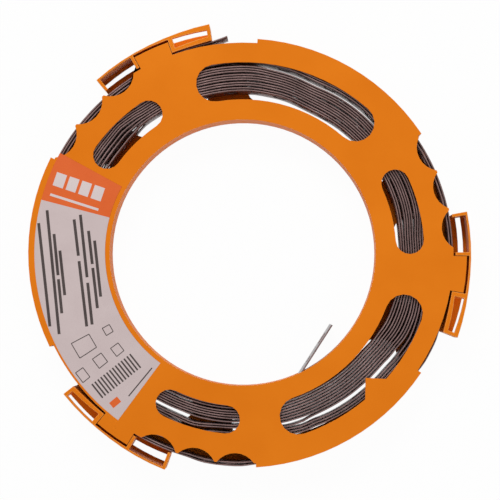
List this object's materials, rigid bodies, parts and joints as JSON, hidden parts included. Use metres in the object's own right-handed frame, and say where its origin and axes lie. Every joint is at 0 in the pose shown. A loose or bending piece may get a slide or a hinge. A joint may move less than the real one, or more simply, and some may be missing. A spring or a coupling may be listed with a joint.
{
  "type": "perforated steel strap in ring case",
  "caption": "Flat ring-shaped coil of perforated steel fixing strap in a moulded plastic case, with a wide centre bore, curved windows, rim clips, a free inner tail and a lifted outer end.",
  "frame": {"origin": "middle of the footprint's bounding box, on the flat plane that the case lies on; the bore's axis stands 4.0 mm towards -X and 3.7 mm towards -Y from it", "axes": "+Z is parallel to the bore's axis, from the rear half to the labelled front half; seen from the front, +Y is the top of the case and the label is on the -X side"},
  "size_m": [0.266, 0.268, 0.0247],
  "materials": {
    "case_plastic": "moulded orange plastic with a faint sheen",
    "strap_steel": "galvanised steel strip with sheared edges",
    "label_film": "satin printed label film"
  },
  "bodies": {
    "root": {"rear_shell": "case_plastic", "front_shell": "case_plastic", "strap_coil": "strap_steel", "label": "label_film"}
  },
  "joints": []
}
